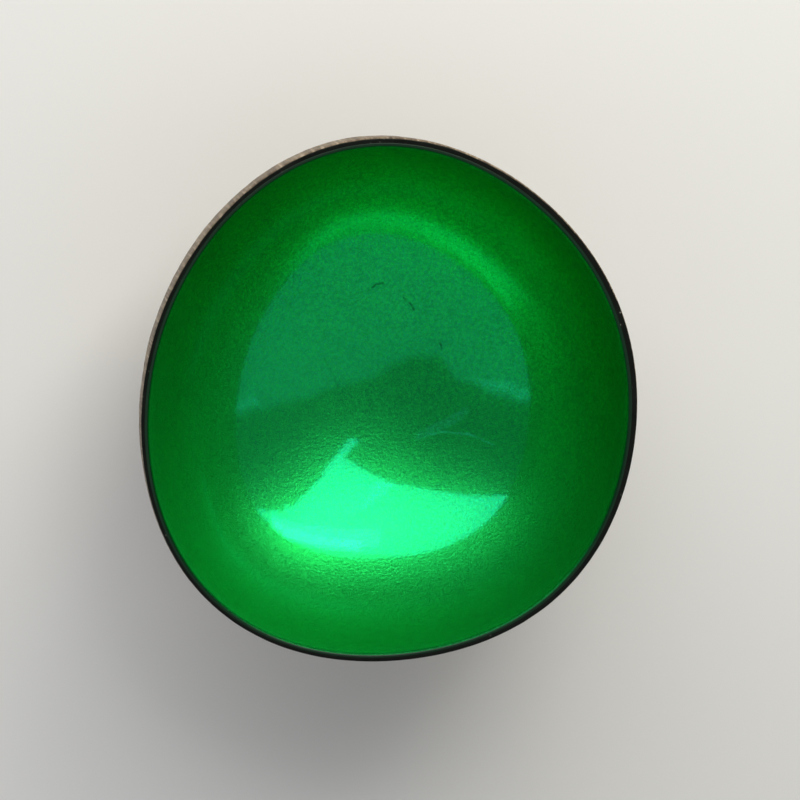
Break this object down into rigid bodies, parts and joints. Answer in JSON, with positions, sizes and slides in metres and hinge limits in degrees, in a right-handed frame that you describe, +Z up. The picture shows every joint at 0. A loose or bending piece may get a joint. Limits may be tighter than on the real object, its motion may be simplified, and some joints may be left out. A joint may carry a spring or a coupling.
{
  "type": "coconut shell bowl",
  "caption": "Deep egg-shaped bowl cut from a coconut's hard shell, black lacquered rim, inside of metal leaf under green lacquer, standing on a small sanded flat foot.",
  "frame": {"origin": "middle of the bowl's box in X and Y, on the surface that the foot stands on", "axes": "+Z up out of the open mouth, +Y along the longer width of the mouth, towards its narrower end, +X to the right of it seen from above"},
  "size_m": [0.1322, 0.1396, 0.062],
  "materials": {
    "shell": "sanded and oiled coconut shell, fine pale fibre streaks from rim to foot",
    "black_lacquer": "black lacquer, satin, hand brushed",
    "leaf": "thin metal leaf, finely crinkled",
    "green_lacquer": "translucent green lacquer, high gloss, over crinkled metal leaf"
  },
  "bodies": {
    "root": {"coconut_shell": "shell", "black_ground": "black_lacquer", "metal_leaf": "leaf", "green_lacquer": "green_lacquer"}
  },
  "joints": []
}
